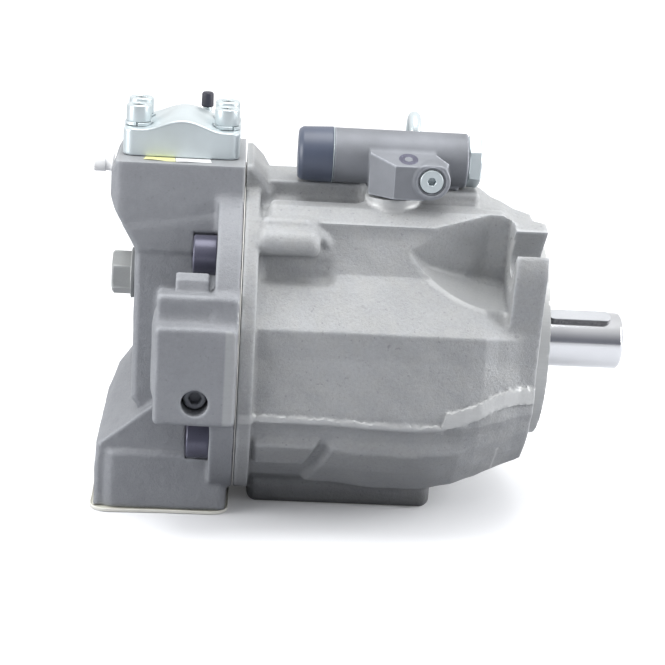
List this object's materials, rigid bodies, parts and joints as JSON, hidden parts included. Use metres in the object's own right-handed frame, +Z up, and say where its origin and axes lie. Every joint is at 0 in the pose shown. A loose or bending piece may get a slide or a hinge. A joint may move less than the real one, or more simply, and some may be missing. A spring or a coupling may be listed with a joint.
{
  "type": "axial piston pump",
  "caption": "Swashplate axial piston pump with keyed drive shaft, slotted mounting flange, control valve and covered pressure port.",
  "frame": {"origin": "centre of the suction port lid's bottom face, which the pump rests on, straight under the pressure port", "axes": "+X along the drive shaft out of the pump, +Z up to the pressure port, -Y to the side with the side port"},
  "size_m": [0.4233, 0.26, 0.3126],
  "materials": {
    "cast_iron": "fine sand cast surface with machined faces",
    "plate_iron": "fine sand cast surface, a little cooler in colour",
    "zinc": "bright zinc plate",
    "black_steel": "black oxide",
    "valve_steel": "dark phosphate coat",
    "polished_steel": "ground and polished",
    "bearing_steel": "ground",
    "spring_steel": "drawn wire",
    "bronze": "machined bearing bronze",
    "black_plastic": "moulded",
    "yellow_plastic": "moulded transport lid",
    "white_plastic": "moulded plug",
    "rubber": "oil seal rubber",
    "gasket_paper": "rubber bonded fibre sheet"
  },
  "bodies": {
    "housing": {"pump_housing": "cast_iron", "port_plate": "plate_iron", "housing_gasket": "gasket_paper", "port_plate_screw_1": "black_steel", "port_plate_screw_2": "black_steel", "port_plate_screw_3": "black_steel", "port_plate_screw_4": "black_steel", "pressure_port_cover": "zinc", "cover_screw_1": "zinc", "cover_screw_2": "zinc", "cover_screw_3": "zinc", "cover_screw_4": "zinc", "valve_side_plug": "zinc", "lifting_eye": "zinc", "suction_port_lid": "yellow_plastic", "rear_hex_plug": "valve_steel", "side_port_plug": "valve_steel", "valve_body": "valve_steel", "valve_end_plug": "valve_steel", "far_side_plug": "white_plastic", "gauge_port_cap": "black_plastic", "valve_cap": "black_plastic", "shaft_seal": "rubber", "seal_retaining_ring": "spring_steel", "return_spring": "spring_steel", "valve_spring": "spring_steel", "front_bearing_cup": "bearing_steel", "rear_bearing_cup": "bearing_steel", "cylinder_block": "bearing_steel", "retainer_ball": "bearing_steel", "valve_plate": "bronze", "cradle_bearing_1": "bronze", "cradle_bearing_2": "bronze"},
    "shaft": {"drive_shaft": "polished_steel", "shaft_key": "polished_steel", "front_bearing_cone": "bearing_steel", "rear_bearing_cone": "bearing_steel"},
    "swash": {"swash_plate": "bearing_steel", "retainer_plate": "bearing_steel"},
    "pumping_piston_1": {"piston_1": "polished_steel"},
    "pumping_piston_2": {"piston_2": "polished_steel"},
    "pumping_piston_3": {"piston_3": "polished_steel"},
    "pumping_piston_4": {"piston_4": "polished_steel"},
    "pumping_piston_5": {"piston_5": "polished_steel"},
    "pumping_piston_6": {"piston_6": "polished_steel"},
    "pumping_piston_7": {"piston_7": "polished_steel"},
    "pumping_piston_8": {"piston_8": "polished_steel"},
    "pumping_piston_9": {"piston_9": "polished_steel"},
    "piston_shoe_1": {"slipper_1": "bronze"},
    "piston_shoe_2": {"slipper_2": "bronze"},
    "piston_shoe_3": {"slipper_3": "bronze"},
    "piston_shoe_4": {"slipper_4": "bronze"},
    "piston_shoe_5": {"slipper_5": "bronze"},
    "piston_shoe_6": {"slipper_6": "bronze"},
    "piston_shoe_7": {"slipper_7": "bronze"},
    "piston_shoe_8": {"slipper_8": "bronze"},
    "piston_shoe_9": {"slipper_9": "bronze"},
    "control_plunger": {"control_piston": "polished_steel"},
    "return_plunger": {"return_piston": "polished_steel"},
    "spool": {"valve_spool": "polished_steel"}
  },
  "joints": [
    {"name": "shaft_spin", "type": "hinge", "parent": "housing", "child": "shaft", "pos_m": [0.273, 0, 0.1363], "axis": [1, 0, 0], "continuous": true},
    {"name": "swash_tilt", "type": "hinge", "parent": "housing", "child": "swash", "pos_m": [0.173, 0, 0.1363], "axis": [0, -1, 0], "range_deg": [0, 16]},
    {"name": "piston_slide_1", "type": "slide", "parent": "housing", "child": "pumping_piston_1", "axis": [1, 0, 0], "range_m": [-0.01493, 0]},
    {"name": "piston_slide_2", "type": "slide", "parent": "housing", "child": "pumping_piston_2", "axis": [1, 0, 0], "range_m": [-0.01144, 0]},
    {"name": "piston_slide_3", "type": "slide", "parent": "housing", "child": "pumping_piston_3", "axis": [1, 0, 0], "range_m": [-0.0026, 0]},
    {"name": "piston_slide_4", "type": "slide", "parent": "housing", "child": "pumping_piston_4", "axis": [1, 0, 0], "range_m": [0, 0.00747]},
    {"name": "piston_slide_5", "type": "slide", "parent": "housing", "child": "pumping_piston_5", "axis": [1, 0, 0], "range_m": [0, 0.01403]},
    {"name": "piston_slide_6", "type": "slide", "parent": "housing", "child": "pumping_piston_6", "axis": [1, 0, 0], "range_m": [0, 0.01403]},
    {"name": "piston_slide_7", "type": "slide", "parent": "housing", "child": "pumping_piston_7", "axis": [1, 0, 0], "range_m": [0, 0.00747]},
    {"name": "piston_slide_8", "type": "slide", "parent": "housing", "child": "pumping_piston_8", "axis": [1, 0, 0], "range_m": [-0.0026, 0]},
    {"name": "piston_slide_9", "type": "slide", "parent": "housing", "child": "pumping_piston_9", "axis": [1, 0, 0], "range_m": [-0.01144, 0]},
    {"name": "shoe_swivel_1", "type": "hinge", "parent": "pumping_piston_1", "child": "piston_shoe_1", "pos_m": [0.173, 0, 0.1883], "axis": [0, -1, 0], "range_deg": [0, 16.1]},
    {"name": "shoe_swivel_2", "type": "hinge", "parent": "pumping_piston_2", "child": "piston_shoe_2", "pos_m": [0.173, 0.03343, 0.17613], "axis": [0, -1, 0], "range_deg": [0, 16.1]},
    {"name": "shoe_swivel_3", "type": "hinge", "parent": "pumping_piston_3", "child": "piston_shoe_3", "pos_m": [0.173, 0.05121, 0.14533], "axis": [0, -1, 0], "range_deg": [0, 16.1]},
    {"name": "shoe_swivel_4", "type": "hinge", "parent": "pumping_piston_4", "child": "piston_shoe_4", "pos_m": [0.173, 0.04503, 0.1103], "axis": [0, -1, 0], "range_deg": [0, 16.1]},
    {"name": "shoe_swivel_5", "type": "hinge", "parent": "pumping_piston_5", "child": "piston_shoe_5", "pos_m": [0.173, 0.01778, 0.08744], "axis": [0, -1, 0], "range_deg": [0, 16.1]},
    {"name": "shoe_swivel_6", "type": "hinge", "parent": "pumping_piston_6", "child": "piston_shoe_6", "pos_m": [0.173, -0.01778, 0.08744], "axis": [0, -1, 0], "range_deg": [0, 16.1]},
    {"name": "shoe_swivel_7", "type": "hinge", "parent": "pumping_piston_7", "child": "piston_shoe_7", "pos_m": [0.173, -0.04503, 0.1103], "axis": [0, -1, 0], "range_deg": [0, 16.1]},
    {"name": "shoe_swivel_8", "type": "hinge", "parent": "pumping_piston_8", "child": "piston_shoe_8", "pos_m": [0.173, -0.05121, 0.14533], "axis": [0, -1, 0], "range_deg": [0, 16.1]},
    {"name": "shoe_swivel_9", "type": "hinge", "parent": "pumping_piston_9", "child": "piston_shoe_9", "pos_m": [0.173, -0.03343, 0.17613], "axis": [0, -1, 0], "range_deg": [0, 16.1]},
    {"name": "control_slide", "type": "slide", "parent": "housing", "child": "control_plunger", "axis": [1, 0, 0], "range_m": [-0.0279, 0]},
    {"name": "return_slide", "type": "slide", "parent": "housing", "child": "return_plunger", "axis": [1, 0, 0], "range_m": [0, 0.0275], "deforming": ["return_spring"]},
    {"name": "spool_slide", "type": "slide", "parent": "housing", "child": "spool", "axis": [1, 0, 0], "range_m": [-0.003, 0.003], "stiffness_N_per_m": 2000, "deforming": ["valve_spring"]}
  ],
  "couplings": [
    {"joint": "piston_slide_1", "follows": "swash_tilt", "m_per_rad": -0.053395},
    {"joint": "piston_slide_2", "follows": "swash_tilt", "m_per_rad": -0.040903},
    {"joint": "piston_slide_3", "follows": "swash_tilt", "m_per_rad": -0.009272},
    {"joint": "piston_slide_4", "follows": "swash_tilt", "m_per_rad": 0.026698},
    {"joint": "piston_slide_5", "follows": "swash_tilt", "m_per_rad": 0.050175},
    {"joint": "piston_slide_6", "follows": "swash_tilt", "m_per_rad": 0.050175},
    {"joint": "piston_slide_7", "follows": "swash_tilt", "m_per_rad": 0.026698},
    {"joint": "piston_slide_8", "follows": "swash_tilt", "m_per_rad": -0.009272},
    {"joint": "piston_slide_9", "follows": "swash_tilt", "m_per_rad": -0.040903},
    {"joint": "shoe_swivel_1", "follows": "swash_tilt", "ratio": 1},
    {"joint": "shoe_swivel_2", "follows": "swash_tilt", "ratio": 1},
    {"joint": "shoe_swivel_3", "follows": "swash_tilt", "ratio": 1},
    {"joint": "shoe_swivel_4", "follows": "swash_tilt", "ratio": 1},
    {"joint": "shoe_swivel_5", "follows": "swash_tilt", "ratio": 1},
    {"joint": "shoe_swivel_6", "follows": "swash_tilt", "ratio": 1},
    {"joint": "shoe_swivel_7", "follows": "swash_tilt", "ratio": 1},
    {"joint": "shoe_swivel_8", "follows": "swash_tilt", "ratio": 1},
    {"joint": "shoe_swivel_9", "follows": "swash_tilt", "ratio": 1},
    {"joint": "control_slide", "follows": "swash_tilt", "m_per_rad": -0.0994},
    {"joint": "return_slide", "follows": "swash_tilt", "m_per_rad": 0.0981}
  ]
}
